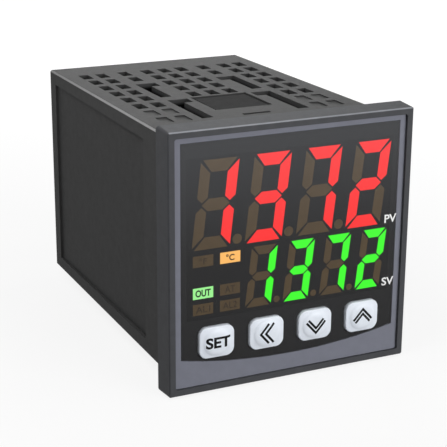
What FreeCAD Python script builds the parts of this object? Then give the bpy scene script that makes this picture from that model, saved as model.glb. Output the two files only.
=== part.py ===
import FreeCAD, Part
import math
import os
import re
import Sketcher

# A panel-mounted PID temperature controller with a 48 x 48 mm front.
# X runs to the right, Y from the front to the terminals and Z up, in millimetres.
# The origin is the centre of the plane where the bezel meets the panel, so the bezel lies
# at negative Y and the case, which goes through the panel, at positive Y.

SIZES = {
    # bezel: the moulded front frame
    "bezel_side": 48.0,
    "bezel_front_side": 47.4,
    "bezel_depth": 4.4,
    "bezel_corner": 0.35,
    "bezel_edge": 0.2,
    "front_wall": 1.5,
    "spigot_wall": 1.2,
    "spigot_length": 3.4,
    "spigot_fit": 0.15,
    # face sheet and the smoked window let into it
    "sheet_side": 45.0,
    "sheet_corner": 0.4,
    "sheet_sink": 0.5,
    "sheet_thick": 0.3,
    "sheet_fit": 0.05,
    "window_width": 42.6,
    "window_top": 21.5,
    "window_shoulder": 17.3,
    "window_sag": 2.15,
    "window_fit": 0.03,
    # push keys
    "key_width": 6.75,
    "key_height": 5.8,
    "key_corner": 1.55,
    "key_edge": 0.2,
    "key_pitch": 9.75,
    "key_drop": 14.65,
    "key_proud": 0.45,
    "key_fit": 0.1,
    "dome_width": 5.2,
    "dome_crown": 1.6,
    "dome_rise": 0.35,
    "flange_lip": 0.6,
    "flange_thick": 0.8,
    "stem_width": 3.0,
    "key_travel": 0.4,
    # tactile switches behind the keys
    "switch_side": 6.0,
    "switch_height": 3.2,
    "button_width": 3.2,
    "button_rise": 0.8,
    "button_sink": 0.6,
    "button_fit": 0.08,
    "button_spare": 0.1,
    # display module
    "module_width": 40.2,
    "module_top": 18.7,
    "module_drop": 10.3,
    "module_gap": 0.05,
    "module_fit": 0.15,
    "glow_depth": 2.0,
    "slant": 0.113,
    # upper row of digits
    "pv_height": 15.75,
    "pv_width": 7.15,
    "pv_bar": 2.17,
    "pv_post": 1.95,
    "pv_gap": 0.4,
    "pv_pitch": 10.0,
    "pv_left": 19.1,
    "pv_base": 2.42,
    "pv_point": 1.84,
    # lower row of digits
    "sv_height": 11.17,
    "sv_width": 5.05,
    "sv_bar": 1.56,
    "sv_post": 1.4,
    "sv_gap": 0.3,
    "sv_pitch": 7.4,
    "sv_left": 8.9,
    "sv_base": -9.56,
    "sv_point": 1.24,
    # indicator lamps left of the lower row
    "lamp_width": 3.84,
    "lamp_height": 2.04,
    "lamp_left": 18.87,
    "lamp_pitch": 5.13,
    "unit_lamp_level": 0.37,
    "output_lamp_level": -5.45,
    "alarm_lamp_level": -8.44,
    # case
    "case_side": 43.5,
    "case_rear_side": 42.85,
    "case_depth": 64.0,
    "case_edge": 0.3,
    "case_sink": 0.4,
    "case_fit": 0.05,
    "case_wall": 1.5,
    "rear_wall": 1.5,
    "panel_sink": 0.45,
    "panel_front": 11.5,
    "panel_margin": 3.5,
    "panel_height": 37.8,
    # vents in the top and in the bottom of the case
    "vent_width": 2.1,
    "vent_length": 3.95,
    "vent_row_pitch": 5.88,
    "vent_margin": 10.5,
    "vent_outer_column": 17.2,
    "vent_inner_column": 13.65,
    "vent_short_column": 8.8,
    "vent_middle_pitch": 3.8,
    "blind_sink": 0.2,
    "slot_width": 2.25,
    "slot_outer": 10.75,
    "slot_arm": 1.85,
    "slot_arm_length": 3.0,
    "rear_slot_length": 13.1,
    "rear_slot_margin": 21.3,
    "front_slot_start": 10.6,
    "front_slot_end": 26.6,
    # toothed rack for the mounting bracket
    "rack_width": 11.6,
    "rack_start": 15.6,
    "rack_end": 27.2,
    "rack_sink": 0.5,
    "tooth_pitch": 1.0,
    "tooth_margin": 0.6,
    "tooth_length": 0.9,
    "tooth_lean": 0.1,
    "tooth_shoulder": 0.2,
    "tooth_crest": 0.3,
    "tooth_height": 0.4,
    # latch between bezel and case
    "latch_width": 5.2,
    "latch_thick": 1.0,
    "latch_fit": 0.15,
    "latch_slit": 1.0,
    "latch_place": 10.0,
    "latch_inset": 0.5,
    # circuit boards
    "board_thick": 1.6,
    "display_board_side": 39.6,
    "side_board_thick": 1.2,
    "side_board_face": 18.5,
    "side_board_height": 38.0,
    "side_board_corner": 1.0,
    "rail_wall": 0.9,
    "rail_bite": 0.9,
    "rail_fit": 0.1,
    "rail_end": 21.0,
    "rail_root": 0.5,
    # parts on the boards
    "header_width": 20.0,
    "header_thick": 2.5,
    "chip_side": 10.0,
    "chip_thick": 1.5,
    "chip_place": 20.0,
    "driver_width": 5.3,
    "driver_length": 12.8,
    "driver_thick": 1.8,
    "crystal_length": 11.0,
    "crystal_width": 4.6,
    "crystal_thick": 3.5,
    "crystal_end": 2.2,
    "crystal_level": 10.0,
    "relay_length": 18.4,
    "relay_width": 10.2,
    "relay_height": 14.0,
    "relay_edge": 0.5,
    "relay_gap": 0.9,
    "relay_pitch": 19.0,
    "core_width": 16.0,
    "core_length": 13.0,
    "core_thick": 6.0,
    "core_leg": 3.5,
    "core_lift": 4.0,
    "coil_flange": 1.0,
    "coil_fit": 0.1,
    "transformer_place": 26.0,
    "transformer_level": -8.0,
    "input_can_width": 10.0,
    "input_can_height": 16.0,
    "output_can_width": 6.3,
    "output_can_height": 11.0,
    "input_can_place": 14.5,
    "input_can_level": 11.0,
    "output_can_gap": 1.5,
    "output_can_level": 8.0,
    "rectifier_place": 13.0,
    "rectifier_level": -14.0,
    "rectifier_side": 7.0,
    "rectifier_thick": 2.6,
    # terminals
    "terminal_pitch": 6.2,
    "barrier_wall": 0.8,
    "block_inner": 8.2,
    "block_outer": 19.1,
    "block_depth": 13.5,
    "block_wall": 0.8,
    "block_fit": 0.1,
    "block_flange": 0.6,
    "block_flange_thick": 1.2,
    "pocket_depth": 8.0,
    "contact_thick": 0.8,
    "contact_width": 5.0,
    "tail_width": 2.4,
    "tail_reach": 5.5,
    "tail_fit": 0.05,
    "clamp_side": 5.0,
    "clamp_thick": 0.8,
    "screw_place": 13.6,
    "screw_width": 3.0,
    "screw_fit": 0.1,
    "screw_head_width": 5.0,
    "screw_head_height": 1.9,
    "screw_length": 6.5,
    "well_spare": 0.5,
}
TERMINALS_A_SIDE = 6
OUTER_VENT_ROWS = 6
MIDDLE_VENT_ROWS = 5
SHORT_VENT_ROWS = 2
POINT_SIDES = 8
SHANK_SIDES = 12
KEYS = ("set", "shift", "down", "up")
SEGMENTS = {"1": "bc", "2": "abged", "3": "abgcd", "7": "abc", "8": "abcdefg"}
READING = "1372"

# Places along Y, from the front to the rear.
FACE = "(sheet_sink - bezel_depth)"
SHEET_BACK = f"({FACE} + sheet_thick)"
WALL_BACK = f"({SHEET_BACK} + front_wall)"
FLANGE_BACK = f"({WALL_BACK} + flange_thick)"
MODULE_FRONT = f"({SHEET_BACK} + module_gap)"
BOARD_FRONT = "spigot_length"
BOARD_BACK = "(spigot_length + board_thick)"
SWITCH_FRONT = f"({BOARD_FRONT} - switch_height)"
BUTTON_FRONT = f"({SWITCH_FRONT} - button_rise)"
REAR_INSIDE = "(case_depth - rear_wall)"
BLOCK_FRONT = "(case_depth - block_depth)"
POCKET_FLOOR = "(case_depth - pocket_depth)"
CONTACT_REAR = f"({POCKET_FLOOR} + contact_thick)"
CLAMP_REAR = f"({CONTACT_REAR} + clamp_thick)"
PANEL_REAR = "(case_depth - panel_margin)"
LAST_ROW = "(case_depth - vent_margin)"
REAR_SLOT_END = "(case_depth - rear_slot_margin)"
RELAY_REAR = f"({BLOCK_FRONT} - tail_reach - relay_gap)"
RELAY_FRONT = f"({RELAY_REAR} - relay_width)"
CAN_PLACES = {"input": "input_can_place",
              "output": f"({RELAY_FRONT} - output_can_gap - output_can_width / 2)"}

# Half widths and levels that several pieces share.
CASE_INSIDE = "(case_side / 2 - case_wall)"
SPIGOT_OUTSIDE = f"({CASE_INSIDE} - spigot_fit)"
SPIGOT_INSIDE = f"({SPIGOT_OUTSIDE} - spigot_wall)"
REBATE_SIDE = "(case_side + 2 * case_fit)"
BOARD_OUTER_FACE = "(side_board_face + side_board_thick)"
BLOCK_HALF = f"(({TERMINALS_A_SIDE} * terminal_pitch + barrier_wall) / 2)"

# Each axis is the normal of one origin plane; the sign says which way that plane faces.
PLANES = {"X": ("YZ_Plane", 1), "Y": ("XZ_Plane", -1), "Z": ("XY_Plane", 1)}

doc = FreeCAD.newDocument("temperature_controller")
sheet = doc.addObject("Spreadsheet::Sheet", "Sizes")
for row, (alias, number) in enumerate(SIZES.items(), start=1):
    sheet.set(f"A{row}", alias)
    sheet.set(f"B{row}", str(number))
    sheet.setAlias(f"B{row}", alias)
doc.recompute()


def cells(expression):
    """The expression with each size written as its cell in the spreadsheet."""
    return re.sub(r"[a-z_]+\w*", lambda word: f"Sizes.{word[0]}" if word[0] in SIZES else word[0],
                  str(expression))


def value(expression):
    """The number that an expression of sizes gives now."""
    return float(sheet.evalExpression(cells(expression)))


def surface(y):
    """Half the width of the case at y, where its four sides draw in towards the rear."""
    return f"(case_side / 2 - (case_side - case_rear_side) / 2 * ({y}) / case_depth)"


def new_body(name):
    body = doc.addObject("PartDesign::Body", name)
    body.Label = name
    return body


def origin_feature(body, role):
    return next(item for item in body.Origin.OriginFeatures if item.Role == role)


def new_sketch(body, name, axis, place):
    """A sketch across an axis of the body, at a place along that axis."""
    role, sign = PLANES[axis]
    sketch = body.newObject("Sketcher::SketchObject", name)
    sketch.AttachmentSupport = [(origin_feature(body, role), "")]
    sketch.MapMode = "FlatFace"
    sketch.setExpression("AttachmentOffset.Base.z", cells(f"{sign} * ({place})"))
    return sketch


def constrain(sketch, constraints):
    """Add (constraint, expression) pairs, the expression None where a constraint has no size."""
    first = sketch.ConstraintCount
    sketch.addConstraint([constraint for constraint, _ in constraints])
    for offset, (_, expression) in enumerate(constraints):
        if expression is not None:
            sketch.setExpression(f"Constraints[{first + offset}]", cells(expression))


def fix_point(edge, end, x, y):
    """Constraints that hold one point of an edge at a place given as two expressions."""
    return [(Sketcher.Constraint("DistanceX", -1, 1, edge, end, value(x)), x),
            (Sketcher.Constraint("DistanceY", -1, 1, edge, end, value(y)), y)]


def outline(sketch, points, arcs=None):
    """A closed loop through points. arcs gives (middle x, middle y, radius) for curved edges."""
    arcs = arcs or {}
    corners = [FreeCAD.Vector(value(x), value(y), 0) for x, y in points]
    first = sketch.GeometryCount
    edges = []
    for index, start in enumerate(corners):
        end = corners[(index + 1) % len(corners)]
        if index in arcs:
            middle = FreeCAD.Vector(value(arcs[index][0]), value(arcs[index][1]), 0)
            edges.append(Part.Arc(start, middle, end))
        else:
            edges.append(Part.LineSegment(start, end))
    sketch.addGeometry(edges)
    ends = {index: curve_ends(sketch, first + index, corners[index]) for index in arcs}
    constraints = []
    for index, (x, y) in enumerate(points):
        following = (index + 1) % len(points)
        start_here = ends.get(index, (1, 2))
        start_next = ends.get(following, (1, 2))
        joint = Sketcher.Constraint("Coincident", first + index, start_here[1],
                                    first + following, start_next[0])
        constraints.append((joint, None))
        constraints += fix_point(first + index, start_here[0], x, y)
    for index, (_, _, radius) in arcs.items():
        constraints.append((Sketcher.Constraint("Radius", first + index, value(radius)), radius))
    constrain(sketch, constraints)


def curve_ends(sketch, edge, start):
    """The point numbers of an arc's two ends, the one that lies at start first."""
    if sketch.getPoint(edge, 1).distanceToPoint(start) < sketch.getPoint(edge, 2).distanceToPoint(start):
        return (1, 2)
    return (2, 1)


def rectangle(sketch, x0, y0, x1, y1):
    outline(sketch, [(x0, y0), (x1, y0), (x1, y1), (x0, y1)])


def centred_rectangle(sketch, x, y, width, height):
    rectangle(sketch, f"({x}) - ({width}) / 2", f"({y}) - ({height}) / 2",
              f"({x}) + ({width}) / 2", f"({y}) + ({height}) / 2")


def rounded_rectangle(sketch, x, y, width, height, radius):
    """A rectangle about (x, y) whose four corners are arcs of one radius."""
    first = sketch.GeometryCount
    signs = ((1, 1), (-1, 1), (-1, -1), (1, -1))
    centres = [(f"({x}) + {sx} * (({width}) / 2 - ({radius}))",
                f"({y}) + {sy} * (({height}) / 2 - ({radius}))") for sx, sy in signs]
    arcs = []
    for turn, (cx, cy) in enumerate(centres):
        circle_here = Part.Circle(FreeCAD.Vector(value(cx), value(cy), 0), FreeCAD.Vector(0, 0, 1),
                                  value(radius))
        arcs.append(Part.ArcOfCircle(circle_here, turn * math.pi / 2, (turn + 1) * math.pi / 2))
    lines = [Part.LineSegment(arcs[i].EndPoint, arcs[(i + 1) % 4].StartPoint) for i in range(4)]
    sketch.addGeometry(arcs + lines)
    constraints = []
    for i, (cx, cy) in enumerate(centres):
        line = first + 4 + i
        constraints.append((Sketcher.Constraint("Tangent", first + i, 2, line, 1), None))
        constraints.append((Sketcher.Constraint("Tangent", line, 2, first + (i + 1) % 4, 1), None))
        constraints += fix_point(first + i, 3, cx, cy)
        constraints.append((Sketcher.Constraint("Radius", first + i, value(radius)), radius))
    constrain(sketch, constraints)


def circle(sketch, x, y, width):
    edge = sketch.addGeometry(Part.Circle(FreeCAD.Vector(value(x), value(y), 0),
                                          FreeCAD.Vector(0, 0, 1), value(width) / 2))
    constrain(sketch, fix_point(edge, 3, x, y)
              + [(Sketcher.Constraint("Diameter", edge, value(width)), width)])


def polygon(sketch, x, y, width, sides):
    """A regular polygon about (x, y), measured across its corners."""
    angles = [360 * (index + 0.5) / sides for index in range(sides)]
    outline(sketch, [(f"({x}) + ({width}) / 2 * cos({angle} deg)",
                      f"({y}) + ({width}) / 2 * sin({angle} deg)") for angle in angles])


def extrude(body, name, axis, low, high, draw, cut=False, draft=None):
    """Add or cut the loops that draw makes, from low to high along an axis of the body."""
    sketch = new_sketch(body, f"{name}_outline", axis, low)
    draw(sketch)
    sign = PLANES[axis][1]
    before = body.Shape.Volume if body.Tip else 0.0
    feature = body.newObject("PartDesign::Pocket" if cut else "PartDesign::Pad", name)
    feature.Profile = sketch
    feature.Reversed = (sign > 0) if cut else (sign < 0)
    feature.setExpression("Length", cells(f"({high}) - ({low})"))
    if draft is not None:
        feature.setExpression("TaperAngle", cells(draft))
    sketch.Visibility = False
    check_growth(body, feature, before, cut)
    return feature


def check_growth(body, feature, before, cut):
    """Stop when a feature that should add or cut material leaves the volume as it was."""
    doc.recompute()
    change = body.Shape.Volume - before
    if (change >= 0) if cut else (change <= 0):
        raise RuntimeError(f"{feature.Name} changes {body.Label} the wrong way: {change:.3f} mm3")


def revolve(body, name, points):
    """Turn a profile of (along Y, out from Y) points about the Y axis of the body."""
    sketch = new_sketch(body, f"{name}_profile", "X", "0")
    outline(sketch, points)
    before = body.Shape.Volume if body.Tip else 0.0
    feature = body.newObject("PartDesign::Revolution", name)
    feature.Profile = sketch
    feature.ReferenceAxis = (origin_feature(body, "Y_Axis"), [""])
    feature.Angle = 360
    sketch.Visibility = False
    check_growth(body, feature, before, cut=False)
    return feature


def repeat(body, name, feature, axis, pitch, count, whole=False, backwards=False):
    """Repeat a feature, or the whole shape of the body, along one of its axes."""
    pattern = body.newObject("PartDesign::LinearPattern", name)
    if whole:
        pattern.TransformMode = "Whole shape"
    else:
        pattern.Originals = [feature]
    pattern.Direction = (origin_feature(body, f"{axis}_Axis"), [""])
    pattern.Reversed = backwards
    pattern.Mode = "Spacing"
    pattern.setExpression("Offset", cells(pitch))
    pattern.Occurrences = count
    body.Tip = pattern
    doc.recompute()
    return pattern


def mirror_whole(body, name, role):
    """Add the mirror image of the whole shape across an origin plane."""
    mirror = body.newObject("PartDesign::Mirrored", name)
    mirror.TransformMode = "Whole shape"
    mirror.MirrorPlane = (origin_feature(body, role), [""])
    body.Tip = mirror
    doc.recompute()
    return mirror


def bevel_edges(body, name, feature, size, chosen):
    """Chamfer the edges of the feature whose bounding box passes the test."""
    names = [f"Edge{i}" for i, edge in enumerate(feature.Shape.Edges, start=1)
             if chosen(edge.BoundBox)]
    chamfer = body.newObject("PartDesign::Chamfer", name)
    chamfer.Base = (feature, names)
    chamfer.setExpression("Size", cells(size))
    doc.recompute()
    return chamfer


def place(body, x="0", y="0", z="0"):
    body.setExpression("Placement.Base.x", cells(x))
    body.setExpression("Placement.Base.y", cells(y))
    body.setExpression("Placement.Base.z", cells(z))


def key_centre(index):
    return f"(({index} - ({len(KEYS)} - 1) / 2) * key_pitch)"


# ---------------------------------------------------------------- bezel

def draw_key_holes(sketch, corner=None):
    """Openings for the four keys, with round corners where a radius is given."""
    for index in range(len(KEYS)):
        spot = (sketch, key_centre(index), "-key_drop", "key_width + 2 * key_fit",
                "key_height + 2 * key_fit")
        if corner:
            rounded_rectangle(*spot, corner)
        else:
            centred_rectangle(*spot)


def draw_module_hole(sketch):
    half = "(module_width / 2 + module_fit)"
    rectangle(sketch, f"-{half}", "-(module_drop + module_fit)", half, "module_top + module_fit")


def draw_spigot(sketch):
    for side in ("-1", "1"):
        rectangle(sketch, f"-{SPIGOT_OUTSIDE}", f"{side} * {SPIGOT_INSIDE}", SPIGOT_OUTSIDE,
                  f"{side} * {SPIGOT_OUTSIDE}")


def draw_latches(sketch):
    """Side view of the two latches: a tongue that runs back and a hook that enters the slit."""
    tongue_in = f"({SPIGOT_OUTSIDE} - latch_thick)"
    hook_front = "(latch_place + latch_fit)"
    hook_rear = "(latch_place + latch_slit - latch_fit)"
    hook_top = f"({surface('latch_place')} - latch_inset)"
    for side in ("-1", "1"):
        outline(sketch, [
            ("spigot_length / 2", f"{side} * {tongue_in}"),
            (hook_rear, f"{side} * {tongue_in}"),
            (hook_rear, f"{side} * {SPIGOT_OUTSIDE}"),
            (f"{hook_front} + latch_fit", f"{side} * {hook_top}"),
            (hook_front, f"{side} * {hook_top}"),
            (hook_front, f"{side} * {SPIGOT_OUTSIDE}"),
            ("spigot_length / 2", f"{side} * {SPIGOT_OUTSIDE}"),
        ])


def make_bezel():
    """The front frame: recess, front wall, a rebate for the case, a spigot and two latches."""
    body = new_body("bezel")
    slope = "atan((bezel_side - bezel_front_side) / 2 / bezel_depth)"
    block = extrude(body, "frame", "Y", "-bezel_depth", "0", lambda sketch: rounded_rectangle(
        sketch, "0", "0", "bezel_front_side", "bezel_front_side", "bezel_corner"), draft=slope)
    depth = value("bezel_depth")
    bevel_edges(body, "front_edge", block, "bezel_edge", lambda box: box.YMax < -depth + 0.01)
    extrude(body, "sheet_recess", "Y", "-bezel_depth", SHEET_BACK, lambda sketch: rounded_rectangle(
        sketch, "0", "0", "sheet_side", "sheet_side", "sheet_corner"), cut=True)
    extrude(body, "rear_cavity", "Y", WALL_BACK, "0", lambda sketch: centred_rectangle(
        sketch, "0", "0", "module_width + 2 * module_fit", f"2 * {SPIGOT_INSIDE}"), cut=True)
    extrude(body, "case_rebate", "Y", "-case_sink", "0", lambda sketch: centred_rectangle(
        sketch, "0", "0", REBATE_SIDE, REBATE_SIDE), cut=True)
    extrude(body, "module_hole", "Y", SHEET_BACK, WALL_BACK, draw_module_hole, cut=True)
    extrude(body, "key_holes", "Y", SHEET_BACK, WALL_BACK, draw_key_holes, cut=True)
    extrude(body, "spigot", "Y", "-case_sink", "spigot_length", draw_spigot)
    extrude(body, "latches", "X", "-latch_width / 2", "latch_width / 2", draw_latches)
    return body


# ---------------------------------------------------------------- face sheet and window

def draw_window(sketch, fit):
    """The window's edge: straight top and sides and a bottom that sags in one long arc."""
    half = f"(window_width / 2 - ({fit}))"
    shoulder = f"(-window_shoulder + ({fit}))"
    top = f"(window_top - ({fit}))"
    radius = f"(({half} * {half} + window_sag * window_sag) / (2 * window_sag))"
    outline(sketch, [(f"-{half}", top), (f"-{half}", shoulder), (half, shoulder), (half, top)],
            arcs={1: ("0", f"{shoulder} - window_sag", radius)})


def make_face_sheet():
    """The printed front sheet, one thin frame round the window."""
    body = new_body("face_sheet")
    extrude(body, "sheet", "Y", FACE, SHEET_BACK, lambda sketch: rounded_rectangle(
        sketch, "0", "0", "sheet_side - 2 * sheet_fit", "sheet_side - 2 * sheet_fit", "sheet_corner"))
    extrude(body, "opening", "Y", FACE, SHEET_BACK, lambda sketch: draw_window(sketch, "0"), cut=True)
    return body


def make_window():
    """The smoked window over the display, pierced for the four keys."""
    body = new_body("display_window")
    extrude(body, "pane", "Y", FACE, SHEET_BACK, lambda sketch: draw_window(sketch, "window_fit"))
    extrude(body, "key_holes", "Y", FACE, SHEET_BACK,
            lambda sketch: draw_key_holes(sketch, "key_corner + key_fit"), cut=True)
    return body


# ---------------------------------------------------------------- keys and switches

def make_key(name, index):
    """A key cap with a low dome, a flange behind the front wall and a stem to its switch."""
    body = new_body(f"key_{name}")
    front = f"({FACE} - key_proud)"
    cap = extrude(body, "cap", "Y", front, WALL_BACK, lambda sketch: rounded_rectangle(
        sketch, "0", "0", "key_width", "key_height", "key_corner"))
    top = value(front)
    bevel_edges(body, "cap_edge", cap, "key_edge", lambda box: box.YMax < top + 0.01)
    extrude(body, "flange", "Y", WALL_BACK, FLANGE_BACK, lambda sketch: centred_rectangle(
        sketch, "0", "0", "key_width + 2 * flange_lip", "key_height + 2 * flange_lip"))
    extrude(body, "stem", "Y", FLANGE_BACK, BUTTON_FRONT, lambda sketch: centred_rectangle(
        sketch, "0", "0", "stem_width", "stem_width"))
    shoulder = f"({front} + key_edge)"
    revolve(body, "dome", [
        (shoulder, "0"),
        (shoulder, "dome_width / 2"),
        (front, "dome_width / 2"),
        (f"{front} - dome_rise", "dome_crown / 2"),
        (f"{front} - dome_rise", "0"),
    ])
    place(body, x=key_centre(index), z="-key_drop")
    return body


def make_switch(name, index):
    """The tactile switch behind a key: its body on the display board and its moving button."""
    housing = new_body(f"switch_body_{name}")
    extrude(housing, "shell", "Y", SWITCH_FRONT, BOARD_FRONT, lambda sketch: centred_rectangle(
        sketch, "0", "0", "switch_side", "switch_side"))
    extrude(housing, "bore", "Y", SWITCH_FRONT,
            f"{SWITCH_FRONT} + button_sink + key_travel + button_spare",
            lambda sketch: centred_rectangle(sketch, "0", "0", "button_width + 2 * button_fit",
                                             "button_width + 2 * button_fit"), cut=True)
    button = new_body(f"switch_button_{name}")
    extrude(button, "plunger", "Y", BUTTON_FRONT, f"{SWITCH_FRONT} + button_sink",
            lambda sketch: centred_rectangle(sketch, "0", "0", "button_width", "button_width"))
    for body in (housing, button):
        place(body, x=key_centre(index), z="-key_drop")
    return [housing, button]


# ---------------------------------------------------------------- display module

def digit_outlines(row):
    """The outlines of the seven segments of one upright digit, as pairs of expressions."""
    wide, tall = f"{row}_width", f"{row}_height"
    bar, post, gap = f"{row}_bar", f"{row}_post", f"{row}_gap"
    middle = f"({tall} / 2)"
    shoulder = f"(({bar} + {gap}) / 2)"
    inner_top = f"({tall} - {bar} - {gap} / 2)"
    inner = f"({post} + {gap} / 2)"
    upper = [("0", f"{tall} - {gap}"), (post, inner_top), (post, f"{middle} + {shoulder}"),
             (f"{post} / 2", f"{middle} + {gap}"), ("0", f"{middle} + {shoulder}")]
    top = [(gap, tall), (f"{wide} - {gap}", tall), (f"{wide} - {inner}", f"{tall} - {bar}"),
           (inner, f"{tall} - {bar}")]
    centre = [(f"{post} / 2", middle), (f"{inner}", f"{middle} + {bar} / 2"),
              (f"{wide} - {inner}", f"{middle} + {bar} / 2"), (f"{wide} - {post} / 2", middle),
              (f"{wide} - {inner}", f"{middle} - {bar} / 2"), (f"{inner}", f"{middle} - {bar} / 2")]

    def across(points):
        return [(f"{wide} - ({x})", y) for x, y in points]

    def below(points):
        return [(x, f"{tall} - ({y})") for x, y in points]

    return {"a": top, "b": across(upper), "c": across(below(upper)), "d": below(top),
            "e": below(upper), "f": upper, "g": centre}


def draw_digit(sketch, row, place_index, letters):
    """Draw the named segments of the digit at one place of a row, leaning to the right."""
    for letter, points in digit_outlines(row).items():
        if letter in letters:
            outline(sketch, [(f"-{row}_left + {place_index} * {row}_pitch + ({x}) + slant * ({y})",
                              f"{row}_base + ({y})") for x, y in points])


def draw_points(sketch, row):
    """The decimal points, one between each two digits."""
    for index in range(len(READING) - 1):
        polygon(sketch, f"-{row}_left + {index} * {row}_pitch + ({row}_width + {row}_pitch) / 2",
                f"{row}_base + {row}_point / 2 + {row}_gap / 2", f"{row}_point", POINT_SIDES)


def draw_lamp(sketch, column, level):
    left = f"(-lamp_left + {column} * lamp_pitch)"
    rectangle(sketch, left, f"{level} - lamp_height / 2", f"{left} + lamp_width",
              f"{level} + lamp_height / 2")


LAMPS = {"unit_spare": (0, "unit_lamp_level"), "unit": (1, "unit_lamp_level"),
         "output": (0, "output_lamp_level"), "tuning": (1, "output_lamp_level"),
         "alarm_one": (0, "alarm_lamp_level"), "alarm_two": (1, "alarm_lamp_level")}
LIT_LAMPS = ("unit", "output")


def glow(body, name, draw, cut=False):
    """Segments or lamps, as deep as the light wells of the display module."""
    return extrude(body, name, "Y", MODULE_FRONT, f"{MODULE_FRONT} + glow_depth", draw, cut=cut)


def make_module():
    """The display module: one dark moulding with a light well for each segment and lamp."""
    body = new_body("display_module")
    extrude(body, "block", "Y", MODULE_FRONT, BOARD_FRONT, lambda sketch: rectangle(
        sketch, "-module_width / 2", "-module_drop", "module_width / 2", "module_top"))
    for row in ("pv", "sv"):
        wells = glow(body, f"{row}_wells", lambda sketch: draw_digit(sketch, row, 0, SEGMENTS["8"]),
                     cut=True)
        repeat(body, f"{row}_row", wells, "X", f"{row}_pitch", len(READING))
        glow(body, f"{row}_point_wells", lambda sketch: draw_points(sketch, row), cut=True)
    glow(body, "lamp_wells", lambda sketch: [draw_lamp(sketch, *spot) for spot in LAMPS.values()],
         cut=True)
    return body


def draw_reading(sketch, row, lit):
    """The segments of a row that glow, or the dark ones and the decimal points."""
    for index, digit in enumerate(READING):
        letters = SEGMENTS[digit]
        if not lit:
            letters = set(SEGMENTS["8"]) - set(letters)
        draw_digit(sketch, row, index, letters)
    if not lit:
        draw_points(sketch, row)


def make_segments(row, lit):
    body = new_body(f"{row}_segments_{'lit' if lit else 'unlit'}")
    glow(body, "segments", lambda sketch: draw_reading(sketch, row, lit))
    return body


def make_lamps():
    """One node for each lamp that glows and one for the dark lamps."""
    bodies = []
    for name in LIT_LAMPS:
        body = new_body(f"{name}_lamp_lit")
        glow(body, "lamp", lambda sketch: draw_lamp(sketch, *LAMPS[name]))
        bodies.append(body)
    body = new_body("lamps_unlit")
    dark = [spot for name, spot in LAMPS.items() if name not in LIT_LAMPS]
    glow(body, "lamps", lambda sketch: [draw_lamp(sketch, *spot) for spot in dark])
    bodies.append(body)
    return bodies


# ---------------------------------------------------------------- case

def draw_vents(sketch, columns, y):
    for x in columns:
        centred_rectangle(sketch, x, y, "vent_width", "vent_length")


def draw_slots(sketch):
    """Four slots shaped like an L, whose arms turn in at their rear ends."""
    for side in ("-1", "1"):
        outer = f"{side} * slot_outer"
        inner = f"{side} * (slot_outer - slot_width)"
        tip = f"{side} * (slot_outer - slot_width - slot_arm)"
        for start, end in ((f"({REAR_SLOT_END} - rear_slot_length)", REAR_SLOT_END),
                           ("front_slot_start", "front_slot_end")):
            outline(sketch, [(outer, start), (outer, end), (tip, end),
                             (tip, f"{end} - slot_arm_length"), (inner, f"{end} - slot_arm_length"),
                             (inner, start)])


def through_case(body, name, draw):
    """Cut loops through the top and the bottom of the case at once."""
    sketch = new_sketch(body, f"{name}_outline", "Z", "0")
    draw(sketch)
    before = body.Shape.Volume
    feature = body.newObject("PartDesign::Pocket", name)
    feature.Profile = sketch
    feature.Type = "ThroughAll"
    feature.Midplane = True
    sketch.Visibility = False
    check_growth(body, feature, before, cut=True)
    return feature


def cut_vents(body):
    """Columns of vents: four long ones that end in blind pockets, two short and three middle ones."""
    outer = ["-vent_outer_column", "-vent_inner_column", "vent_inner_column", "vent_outer_column"]
    middle = ["-vent_middle_pitch", "0", "vent_middle_pitch"]
    short = ["-vent_short_column", "vent_short_column"]
    blind_row = f"({LAST_ROW} - {OUTER_VENT_ROWS} * vent_row_pitch)"
    floor = f"({surface(blind_row)} - blind_sink)"

    def draw_blind(sketch):
        draw_vents(sketch, outer, blind_row)
        draw_vents(sketch, outer, f"{blind_row} - vent_row_pitch")

    cut_both_faces(body, "blind_vents", "Z", floor, draw_blind)
    through_case(body, "slots", draw_slots)
    for name, columns, rows in (("short", short, SHORT_VENT_ROWS), ("middle", middle, MIDDLE_VENT_ROWS),
                                ("outer", outer, OUTER_VENT_ROWS)):
        vents = through_case(body, f"{name}_vents",
                             lambda sketch: draw_vents(sketch, columns, LAST_ROW))
        repeat(body, f"{name}_vent_rows", vents, "Y", "vent_row_pitch", rows, backwards=True)


def cut_both_faces(body, name, axis, floor, draw):
    """Sink loops from a floor out through the case's surface, on two opposite sides."""
    extrude(body, f"{name}_high", axis, floor, f"{floor} + case_wall", draw, cut=True)
    extrude(body, f"{name}_low", axis, f"-{floor} - case_wall", f"-{floor}", draw, cut=True)


def draw_teeth(sketch):
    """Ratchet teeth with an eased crest, steep towards the front, where they stop the bracket."""
    count = int(value("(rack_end - rack_start) / tooth_pitch"))
    floor = f"({surface('rack_start')} - rack_sink)"
    for side in ("-1", "1"):
        for index in range(count):
            start = f"rack_start + {index} * tooth_pitch"
            outline(sketch, [(start, f"{side} * {floor}"),
                             (f"{start} + tooth_length", f"{side} * {floor}"),
                             (f"{start} + tooth_crest", f"{side} * ({floor} + tooth_height)"),
                             (f"{start} + tooth_lean", f"{side} * ({floor} + tooth_shoulder)")])


def draw_rails(sketch):
    """Ribs on the inside of the top and the bottom, a pair for each side board."""
    edge = "(side_board_height / 2 - rail_bite)"
    root = f"({CASE_INSIDE} + rail_root)"
    for side in ("-1", "1"):
        for face in ("-1", "1"):
            rectangle(sketch, f"{side} * (side_board_face - rail_fit - rail_wall)", f"{face} * {edge}",
                      f"{side} * (side_board_face - rail_fit)", f"{face} * {root}")


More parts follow.
